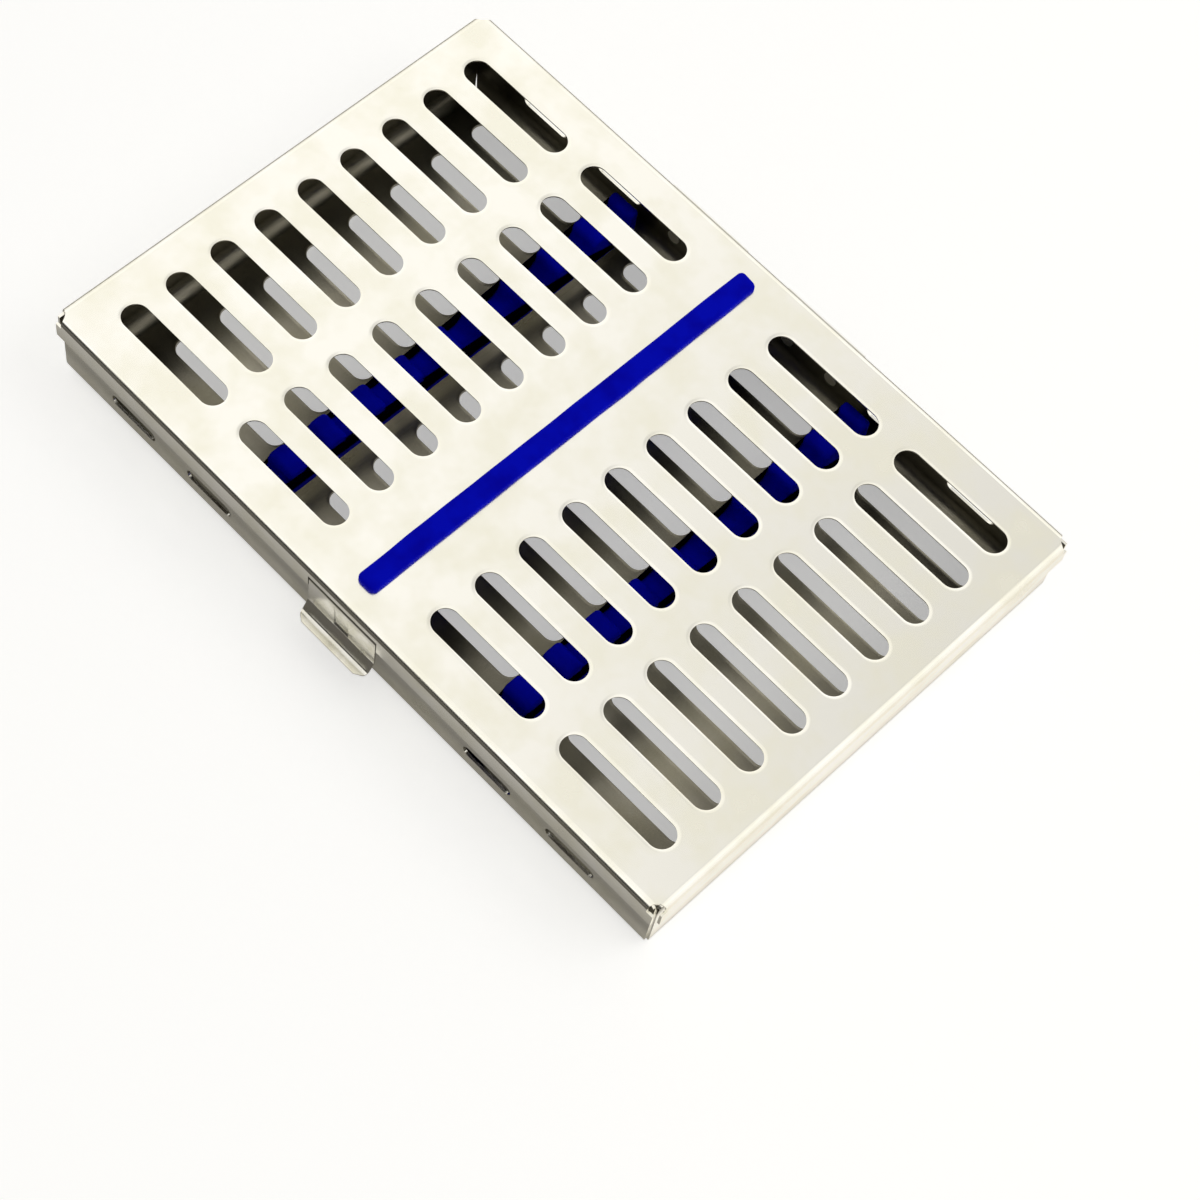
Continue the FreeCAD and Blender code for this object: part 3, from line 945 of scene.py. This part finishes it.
@dataclass
class SpringLatch:
    """Bent latch plate: root, tongue with its nib, and the scooped thumb tab."""

    steel: bpy.types.Material
    sheet: float = 0.4 * MM
    root_top: float = 22.9 * MM
    notch_top: float = 21.5 * MM
    joggle: float = 1.0 * MM
    skirt_face: float = -70.0 * MM
    skirt_sheet: float = 0.7 * MM
    crease: float = 11.1 * MM
    reach: float = 4.2 * MM
    drop: float = 3.3 * MM
    lip: float = 2.2 * MM
    lip_slope: float = math.radians(10)
    bend_radii: tuple[float, ...] = (0.5 * MM, 0.5 * MM, 0.9 * MM, 1.2 * MM)
    corner: float = 3.0 * MM
    nib_half: float = 2.35 * MM
    nib_depth: float = 0.75 * MM
    nib_height: float = 1.6 * MM
    nib_clear: float = 1.0 * MM
    across: int = 64
    bend_steps: int = 8

    def route(self) -> list[Point2]:
        """Corners of the outer side as Y and Z, from the root to the rim."""
        rim_y = self.skirt_face - self.reach + self.sheet * math.sin(self.lip_slope)
        trough_z = self.crease - self.drop
        rim = (rim_y, trough_z + self.lip * math.sin(self.lip_slope))
        trough = (rim_y + self.lip * math.cos(self.lip_slope), trough_z)
        root_y = self.skirt_face + self.skirt_sheet
        return [(root_y, self.root_top), (root_y, self.notch_top),
                (self.skirt_face, self.notch_top - self.joggle), (self.skirt_face, self.crease),
                trough, rim]

    def build(self) -> None:
        """Build the latch and put it in the scene."""
        path = rounded_route(self.route(), self.bend_radii, self.sheet, self.bend_steps)
        low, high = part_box("latch_plate")
        skin = Skin()
        rows = []
        for (y, z), (ny, nz) in path:
            from_rim = y - low.y
            half = high.x
            if from_rim < self.corner:
                half -= self.corner - math.sqrt(self.corner ** 2 - (self.corner - from_rim) ** 2)
            row = []
            for i in range(self.across + 1):
                x = half * (2 * i / self.across - 1)
                push = self.nib(x, z) if y > self.skirt_face - self.nib_clear else 0.0
                row.append((Vector((x, y + push, z)), Vector((0, ny, nz))))
            rows.append(row)
        skin.grid(rows)
        show("latch_spring_plate", skin.thicken(self.sheet), [self.steel] * 2, "latch",
             ["latch_plate"])

    def nib(self, x: float, z: float) -> float:
        """How far the nib presses the tongue inwards at one point."""
        up = (z - self.crease) / self.nib_height
        if abs(x) > self.nib_half or not 0 < up < 1:
            return 0.0
        return self.nib_depth * math.sin(math.pi * up)


def rounded_route(corners: Sequence[Point2], radii: Sequence[float], sheet: float,
                  steps: int) -> list[tuple[Point2, Point2]]:
    """Round the corners of a sheet's outer side and give each point its normal.

    Args:
        corners: the corners of the route.
        radii: inner bend radius of each corner between the two ends.
        sheet: sheet thickness.
        steps: segments of each bend.

    Returns:
        Pairs of point and outward normal, where the sheet lies on the left of the route.
    """
    points = [Vector(c) for c in corners]
    runs = [(b - a).normalized() for a, b in zip(points, points[1:])]
    result = [(points[0], right_of(runs[0]))]
    for i in range(1, len(points) - 1):
        turn = runs[i - 1].x * runs[i].y - runs[i - 1].y * runs[i].x
        bend = radii[i - 1] + (sheet if turn > 0 else 0.0)
        sign = 1 if turn > 0 else -1
        half = abs(runs[i - 1].angle(runs[i])) / 2
        setback = bend * math.tan(half)
        centre = points[i] - runs[i - 1] * setback - right_of(runs[i - 1]) * bend * sign
        for step in range(steps + 1):
            share = step / steps
            normal = right_of(runs[i - 1]).slerp(right_of(runs[i]), share)
            result.append((centre + normal * bend * sign, normal))
    result.append((points[-1], right_of(runs[-1])))
    return [((p.x, p.y), (n.x, n.y)) for p, n in result]


def right_of(run: Vector) -> Vector:
    """Unit vector to the right of a direction."""
    return Vector((run.y, -run.x))


# Silicone


@dataclass
class Comb:
    """Silicone comb with soft scalloped teeth on the rail."""

    silicone: bpy.types.Material
    side: str
    notches: int = 10
    notch_width: float = 6.7 * MM
    notch_depth: float = 6.0 * MM
    tooth_round: float = 1.9 * MM
    end_round: float = 0.8 * MM
    edge_round: float = 0.9 * MM
    head_bottom: float = 5.1 * MM
    neck_half: float = 2.2 * MM
    neck_in_head: float = 1.0 * MM
    neck_in_foot: float = 0.5 * MM
    foot_half: float = 3.2 * MM
    foot_top: float = 4.3 * MM
    edge_steps: int = 5
    round_steps: int = 7
    sharp_from: float = math.radians(50)

    def profile(self, low: Vector, high: Vector) -> list[Point2]:
        """Side view of the head: scalloped top, square foot line, counter-clockwise.

        Args:
            low: lowest corner of the comb.
            high: highest corner.

        Returns:
            Points as Y and Z.
        """
        pitch = (high.y - low.y) / self.notches
        radius = self.notch_width / 2
        r = self.tooth_round
        end = self.end_round
        points = [(low.y, self.head_bottom), (high.y, self.head_bottom)]
        points += arc((high.y - end, high.z - end), end, 0, math.pi / 2, self.round_steps)
        for i in reversed(range(self.notches)):
            y = low.y + pitch * (i + 0.5)
            tip = high.z - r
            points += arc((y + radius + r, tip), r, math.pi / 2, math.pi, self.round_steps)
            points += arc((y, high.z - self.notch_depth + radius), radius, 0, -math.pi,
                          2 * self.round_steps)
            points += arc((y - radius - r, tip), r, 0, math.pi / 2, self.round_steps)
        points += arc((low.y + end, high.z - end), end, math.pi / 2, math.pi, self.round_steps)
        return dedupe(points)

    def build(self) -> None:
        """Build the comb and put it in the scene."""
        node = "comb_" + self.side
        low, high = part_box(node)
        work = pillow(self.profile(low, high), (low.x, high.x), self.edge_round, self.edge_steps)
        middle = (low.x + high.x) / 2
        add_bar(work, (middle - self.neck_half, middle + self.neck_half), (low.y, high.y),
                (self.foot_top - self.neck_in_foot, self.head_bottom + self.neck_in_head))
        add_bar(work, (middle - self.foot_half, middle + self.foot_half), (low.y, high.y),
                (low.z, self.foot_top))
        mesh = to_mesh(work, "comb")
        mesh.set_sharp_from_angle(angle=self.sharp_from)
        show(node + "_silicone", mesh, [self.silicone], "base", [node])


def dedupe(points: Sequence[Point2]) -> list[Point2]:
    """Outline without points that fall on the one before."""
    kept = [points[0]]
    for point in points[1:]:
        if math.dist(point, kept[-1]) > MERGE:
            kept.append(point)
    if math.dist(kept[0], kept[-1]) < MERGE:
        kept.pop()
    return kept


def loft(work: bmesh.types.BMesh, rings: Iterable[Iterable[Triple]]) -> list[bmesh.types.BMFace]:
    """Add a tube through rings of points, closed at both ends.

    Args:
        work: the shape that it is added to.
        rings: closed rings, all with as many points.

    Returns:
        Its faces, with the two end faces last.
    """
    made = [[work.verts.new(point) for point in ring] for ring in rings]
    faces = []
    for low, high in zip(made, made[1:]):
        for i in range(len(low)):
            j = (i + 1) % len(low)
            faces.append(work.faces.new((low[i], low[j], high[j], high[i])))
    return faces + [work.faces.new(reversed(made[0])), work.faces.new(made[-1])]


def pillow(outline: Sequence[Point2], ends: Point2, radius: float, steps: int) -> bmesh.types.BMesh:
    """Extrude an outline of Y and Z along X, with round edges.

    Args:
        outline: closed outline, counter-clockwise.
        ends: where it starts and ends on X.
        radius: radius of the edges.
        steps: segments of each round edge.

    Returns:
        A closed smooth shape.
    """
    inward = []
    for i, point in enumerate(outline):
        before = Vector(point) - Vector(outline[i - 1])
        after = Vector(outline[(i + 1) % len(outline)]) - Vector(point)
        inward.append(-(right_of(before.normalized()) + right_of(after.normalized())).normalized())
    bends = [(radius * (1 - math.cos(a)), radius * (1 - math.sin(a))) for a in quarter(steps)]
    stations = [(ends[0] + out, inset) for out, inset in bends]
    stations += [(ends[1] - out, inset) for out, inset in reversed(bends)]
    work = bmesh.new()
    faces = loft(work, [[(x, y + way.x * inset, z + way.y * inset)
                         for (y, z), way in zip(outline, inward)] for x, inset in stations])
    bmesh.ops.triangulate(work, faces=faces[-2:])
    for face in work.faces:
        face.smooth = True
    bmesh.ops.recalc_face_normals(work, faces=work.faces)
    return work


def add_bar(work: bmesh.types.BMesh, xs: Point2, ys: Point2, zs: Point2) -> None:
    """Add a closed bar between two corners."""
    made = bmesh.ops.create_cube(work, size=1.0)
    size = Matrix.Diagonal((xs[1] - xs[0], ys[1] - ys[0], zs[1] - zs[0], 1))
    move = Matrix.Translation((sum(xs) / 2, sum(ys) / 2, sum(zs) / 2))
    bmesh.ops.transform(work, matrix=move @ size, verts=made["verts"])


@dataclass
class HoldDownStrip:
    """Silicone strip: slightly uneven cap on the lid, neck in its slot and pad below."""

    silicone: bpy.types.Material
    cap_bottom: float = 25.0 * MM
    cap_half: float = 2.95 * MM
    edge_round: float = 0.6 * MM
    plan_round: float = 1.6 * MM
    uneven: float = 0.14 * MM
    uneven_size: float = 9 * MM
    uneven_start: float = 7.3
    uneven_shift: float = 0.5
    slant: float = 0.7 * MM
    slant_from: float = 0.9
    body_top: float = 23.6 * MM
    neck_half: float = 2.2 * MM
    neck_end: float = 1.5 * MM
    neck_sunk: float = 0.5 * MM
    body_half: float = 4.0 * MM
    body_end: float = 1.7 * MM
    body_round: float = 1.5 * MM
    stations: int = 90
    edge_steps: int = 4
    sharp_from: float = math.radians(40)

    def cap_halves(self, y: float, half_length: float) -> Point2:
        """Left and right edge of the cap at one place along it."""
        near = half_length - abs(y)
        tight = 0.0
        if near < self.plan_round:
            tight = self.plan_round - math.sqrt(max(0.0, self.plan_round ** 2
                                                    - (self.plan_round - near) ** 2))
        sides = []
        for sign in (-1, 1):
            wave = noise.noise(Vector((sign * self.uneven_start, y / self.uneven_size, 0.5)))
            sides.append(sign * (self.cap_half - tight + self.uneven * (wave - self.uneven_shift)))
        return sides[0], sides[1]

    def section(self, left: float, right: float, top: float) -> list[Point2]:
        """Cross-section of the cap as X and Z."""
        r = self.edge_round
        drop = min(r, max(top - self.cap_bottom, 0.0))
        bends = [(r * (1 - math.cos(a)), top - drop + drop * math.sin(a))
                 for a in quarter(self.edge_steps)]
        return ([(left, self.cap_bottom), (right, self.cap_bottom)]
                + [(right - inset, z) for inset, z in bends]
                + [(left + inset, z) for inset, z in reversed(bends)])

    def cap_rings(self, high: Vector) -> list[list[Triple]]:
        """Rings of the crowned cap, which runs out at both ends.

        Args:
            high: highest corner of the strip.

        Returns:
            The rings from the latch end to the hinge end.
        """
        half = high.y
        rings = []
        for i in range(self.stations + 1):
            share = i / self.stations
            y = -half * math.cos(math.pi * share)
            left, right = self.cap_halves(y, half)
            near = min(1.0, (half - abs(y)) / self.edge_round)
            top = high.z - self.edge_round * (1 - math.sqrt(1 - (1 - near) ** 2))
            skew = self.slant * max(0.0, share - self.slant_from) / (1 - self.slant_from)
            rings.append([(x, y - skew * (x / self.cap_half + 1) / 2, z)
                          for x, z in self.section(left, right, top)])
        return rings

    def build(self) -> None:
        """Build the strip and put it in the scene."""
        low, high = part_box("holddown_strip")
        work = bmesh.new()
        cap = loft(work, self.cap_rings(high))
        bmesh.ops.recalc_face_normals(work, faces=cap)
        neck = high.y - self.neck_end
        add_bar(work, (-self.neck_half, self.neck_half), (-neck, neck),
                (self.body_top - self.neck_sunk, self.cap_bottom + self.neck_sunk))
        end = high.y - self.body_end
        r = self.body_round
        half = self.body_half
        section = [(half, self.body_top), (-half, self.body_top)]
        section += arc((-half + r, low.z + r), r, math.pi, 1.5 * math.pi, self.edge_steps)
        section += arc((half - r, low.z + r), r, -math.pi / 2, 0, self.edge_steps)
        pad = loft(work, [[(x, y, z) for x, z in section] for y in (-end, end)])
        bmesh.ops.recalc_face_normals(work, faces=pad)
        for face in work.faces:
            face.smooth = True
        mesh = to_mesh(work, "strip")
        mesh.set_sharp_from_angle(angle=self.sharp_from)
        show("holddown_strip_silicone", mesh, [self.silicone], "lid", ["holddown_strip"])


# Studio


@dataclass(frozen=True)
class Studio:
    """Camera, soft light, pale floor and the surroundings that the steel reflects."""

    camera_place: Triple = (0.2039, -0.2770, 0.6031)
    camera_right: Triple = (0.6968, 0.7090, 0.1087)
    camera_up: Triple = (-0.6707, 0.5902, 0.4493)
    camera_back: Triple = (0.2544, -0.3860, 0.8867)
    lens: float = 85.6
    sensor: float = 36.0
    clip_start: float = 0.01
    floor_half: float = 3.0
    floor_roughness: float = 0.6
    floor_specular: float = 0.1
    floor_colour: Triple = (0.82, 0.82, 0.82)
    # Painted shade of the floor, seen only in the steel.
    floor_front_painted_shade: Triple = (0.15, 0.14, 0.125)
    floor_side_painted_shade: Triple = (0.56, 0.54, 0.50)
    mirror_tint: Triple = (1.0, 0.97, 0.91)
    # Painted shadow: lower camera glow under the case.
    floor_glow: float = 0.56
    floor_glow_painted_shadow: float = 0.36
    shadow_half: Point2 = (0.100, 0.068)
    shadow_soft: float = 0.004
    # Painted reflections: the graded strip in front and the card on the right glow only in the steel.
    painted_strip_reflection: tuple[Point2, ...] = ((0.0, 0.06), (0.13, 0.17), (0.40, 0.41), (0.70, 0.45),
                                       (1.0, 0.01))
    strip_start: float = 0.0715
    strip_reach: float = 0.020
    card_start: float = 0.1005
    painted_card_reflection: float = 0.60
    soft_edge: float = 1 * MM
    ambient: Triple = (0.43, 0.422, 0.395)
    sky_tint: Triple = (1.0, 0.985, 0.94)
    sky_stops: tuple[Point2, ...] = ((0.0, 0.05), (0.40, 0.03), (0.50, 1.0), (0.62, 1.15), (0.82, 1.0))
    right_span: Point2 = (0.35, 0.75)
    right_levels: Point2 = (0.0, 0.75)
    behind_span: Point2 = (-0.84, -0.5)
    dim_side: Triple = (-0.05, 0.50, 0.87)
    dim_span: Point2 = (0.955, 0.999)
    dim_levels: Point2 = (1.13, 0.76)
    key_place: Triple = (0.6, 0.5, 1.0)
    key_size: float = 0.9
    key_power: float = 2.2

    def build(self) -> None:
        """Build the whole studio."""
        self.camera()
        self.floor()
        self.world()
        self.key()
        bpy.context.scene.view_settings.view_transform = "Standard"

    def camera(self) -> None:
        """Camera at the photograph's place, with its roll."""
        data = bpy.data.cameras.new("camera")
        data.lens = self.lens
        data.sensor_width = self.sensor
        data.sensor_fit = "HORIZONTAL"
        data.clip_start = self.clip_start
        camera = bpy.data.objects.new("camera", data)
        axes = Matrix((self.camera_right, self.camera_up, self.camera_back)).transposed()
        camera.matrix_world = Matrix.Translation(self.camera_place) @ axes.to_4x4()
        bpy.context.scene.collection.objects.link(camera)
        bpy.context.scene.camera = camera

    def floor(self) -> None:
        """Pale floor that stays white to the camera and keeps the shadow."""
        half = self.floor_half
        mesh = bpy.data.meshes.new("floor")
        mesh.from_pydata([(-half, -half, 0), (half, -half, 0), (half, half, 0), (-half, half, 0)], [],
                         [(0, 1, 2, 3)])
        kit = SurfaceKit("pale_floor")
        split = kit.node("SeparateXYZ", {"Vector": kit.place})
        path = kit.node("LightPath")
        in_steel = path.outputs["Is Glossy Ray"]
        mesh.materials.append(kit.finish({
            "Roughness": self.floor_roughness,
            "Specular IOR Level": self.floor_specular,
            # The steel sees the floor's painted shade; the camera sees its plain colour.
            "Base Color": kit.mix(in_steel, self.floor_colour, self.front_shade(kit, split)),
            "Emission Color": kit.mix(in_steel, WHITE, self.mirror_tint),
            "Emission Strength": self.floor_light(kit, path, split)}))
        floor = bpy.data.objects.new("floor", mesh)
        bpy.context.scene.collection.objects.link(floor)
        floor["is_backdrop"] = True

    def front_shade(self, kit: SurfaceKit, split: bpy.types.Node) -> Socket:
        """Colour of the floor in the steel, painted shade: dimmer than to the camera all round, and deep
        on the latch side, where the front walls reflect it.
        """
        side = kit.map_range(split.outputs["Y"], (-self.strip_start, -self.strip_start - self.soft_edge))
        return kit.mix(side, self.floor_side_painted_shade, self.floor_front_painted_shade)

    def floor_light(self, kit: SurfaceKit, path: bpy.types.Node, split: bpy.types.Node) -> Socket:
        """Glow of the floor: soft to the camera; in the steel only, painted reflections: a bright card
        on the right and a graded front strip.

        Args:
            kit: kit of the floor's material.
            path: node that tells the rays apart.
            split: node that gives the place on the floor.

        Returns:
            The strength socket.
        """
        card = kit.map_range(split.outputs["X"], (self.card_start, self.card_start + self.soft_edge),
                             (0.0, self.painted_card_reflection))
        end = self.strip_start + self.strip_reach
        out = kit.map_range(split.outputs["Y"], (-self.strip_start, -end))
        strip = kit.ramp(out, ((place, (grey, grey, grey)) for place, grey in self.painted_strip_reflection))
        # Painted reflections: these glows show only in the steel.
        mirrored = kit.maths("MULTIPLY", path.outputs["Is Glossy Ray"], kit.maths("ADD", card, strip))
        seen = kit.maths("MULTIPLY", path.outputs["Is Camera Ray"], self.open_floor(kit, split))
        return kit.maths("ADD", mirrored, seen)

    def open_floor(self, kit: SurfaceKit, split: bpy.types.Node) -> Socket:
        """Glow to the camera: less under the case, a painted shadow that shows through the floor's
        slots.

        Args:
            kit: kit of the floor's material.
            split: node that gives the place on the floor.

        Returns:
            The strength socket.
        """
        shares = []
        for axis, edge in zip("XY", self.shadow_half):
            away = kit.maths("ABSOLUTE", split.outputs[axis])
            shares.append(kit.map_range(away, (edge - self.shadow_soft, edge)))
        outside = kit.maths("MAXIMUM", *shares)
        return kit.map_range(outside, (0.0, 1.0), (self.floor_glow_painted_shadow, self.floor_glow))

    def world(self) -> None:
        """White to the camera, even and soft for the light, and a graded studio for the steel."""
        world = bpy.data.worlds.new("studio")
        bpy.context.scene.world = world
        kit = NodeKit(world)
        way = kit.node("TexCoord").outputs["Generated"]
        split = kit.node("SeparateXYZ", {"Vector": way})
        path = kit.node("LightPath")
        sky = kit.ramp(split.outputs["Z"], ((place, tuple(grey * tint for tint in self.sky_tint))
                                            for place, grey in self.sky_stops))
        right = kit.map_range(split.outputs["X"], self.right_span, self.right_levels)
        behind = kit.map_range(split.outputs["Y"], self.behind_span)
        beside = kit.vectors("MULTIPLY", kit.maths("MAXIMUM", right, behind), self.sky_tint)
        near = kit.node("VectorMath", {0: way, 1: Vector(self.dim_side).normalized()},
                        operation="DOT_PRODUCT").outputs["Value"]
        fall = kit.map_range(near, self.dim_span, self.dim_levels)
        mirrored = kit.scaled(kit.vectors("MAXIMUM", sky, beside), fall)
        light = kit.mix(path.outputs["Is Camera Ray"], self.ambient, WHITE)
        colour = kit.mix(path.outputs["Is Glossy Ray"], light, mirrored)
        background = kit.node("Background", {"Color": colour})
        kit.node("OutputWorld", {"Surface": background.outputs["Background"]})

    def key(self) -> None:
        """One large soft lamp overhead."""
        data = bpy.data.lights.new("key", "AREA")
        data.shape = "DISK"
        data.size = self.key_size
        data.energy = self.key_power
        lamp = bpy.data.objects.new("key", data)
        lamp.location = self.key_place
        aim = Vector(self.key_place).to_track_quat("Z", "Y")
        lamp.rotation_euler = aim.to_euler()
        lamp.visible_glossy = False
        bpy.context.scene.collection.objects.link(lamp)


class Cassette:
    """The whole cassette, built piece by piece."""

    HINGE = "hinge_"
    PLAIN = ("comb_rail_left", "comb_rail_right", "comb_rail_rivets_left", "comb_rail_rivets_right",
             "holddown_brace")

    def __init__(self, frame: dict) -> None:
        """Make the finishes.
        """
        self.frame = frame
        self.repeat = RepeatTree()
        self.sheet_steel = PolishedSteel("electropolished_sheet").build()
        # Inner faces: a rougher finish, with painted shade: a darker olive tint, and darkening in
        # hollows, for the dark inside of the shut case.
        self.inner_steel_shaded = PolishedSteel("duller_inner_sheet", tint=(0.62, 0.58, 0.47), roughness=0.3,
                                          hollow_shade_least=0.26).build()
        # Latch steel with painted shade: the colour darkens in the crease and close to the skirt.
        self.spring_steel = PolishedSteel("polished_spring_steel", cloud_size=5 * MM, hollow_shade_least=0.08,
                                          reach=3.5 * MM).build()
        self.hinge_steel = PolishedSteel("satin_hinge_steel", tint=(0.78, 0.77, 0.74),
                                         roughness=0.28).build()
        self.silicone = MouldedSilicone("blue_silicone").build()

    def build(self) -> None:
        """Build every piece and dress the nodes that stay."""
        for pan in (LidPan, TrayPan):
            pan(self.repeat, self.sheet_steel, self.inner_steel_shaded).build()
        SpringLatch(self.spring_steel).build()
        for side in ("left", "right"):
            Comb(self.silicone, side).build()
        HoldDownStrip(self.silicone).build()
        self.dress()

    def dress(self) -> None:
        """Give the nodes that stay their finish."""
        for name, node in self.frame["nodes"].items():
            if name in self.PLAIN or name.startswith(self.HINGE):
                finish = self.hinge_steel if name.startswith(self.HINGE) else self.sheet_steel
                node.data.materials.clear()
                node.data.materials.append(finish)
                LOG.info("dressed %s", name)


def corners(bounds: Iterable[Vector]) -> list[list[float]]:
    """Box corners as plain lists."""
    return [list(map(float, corner)) for corner in bounds]


def main() -> None:
    """Build the cassette and its studio."""
    logging.basicConfig(level=logging.INFO, format="%(name)s %(message)s")
    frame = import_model()
    before = corners(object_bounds())
    Studio().build()
    Cassette(frame).build()
    after = corners(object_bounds())


if __name__ == "__main__":
    main()
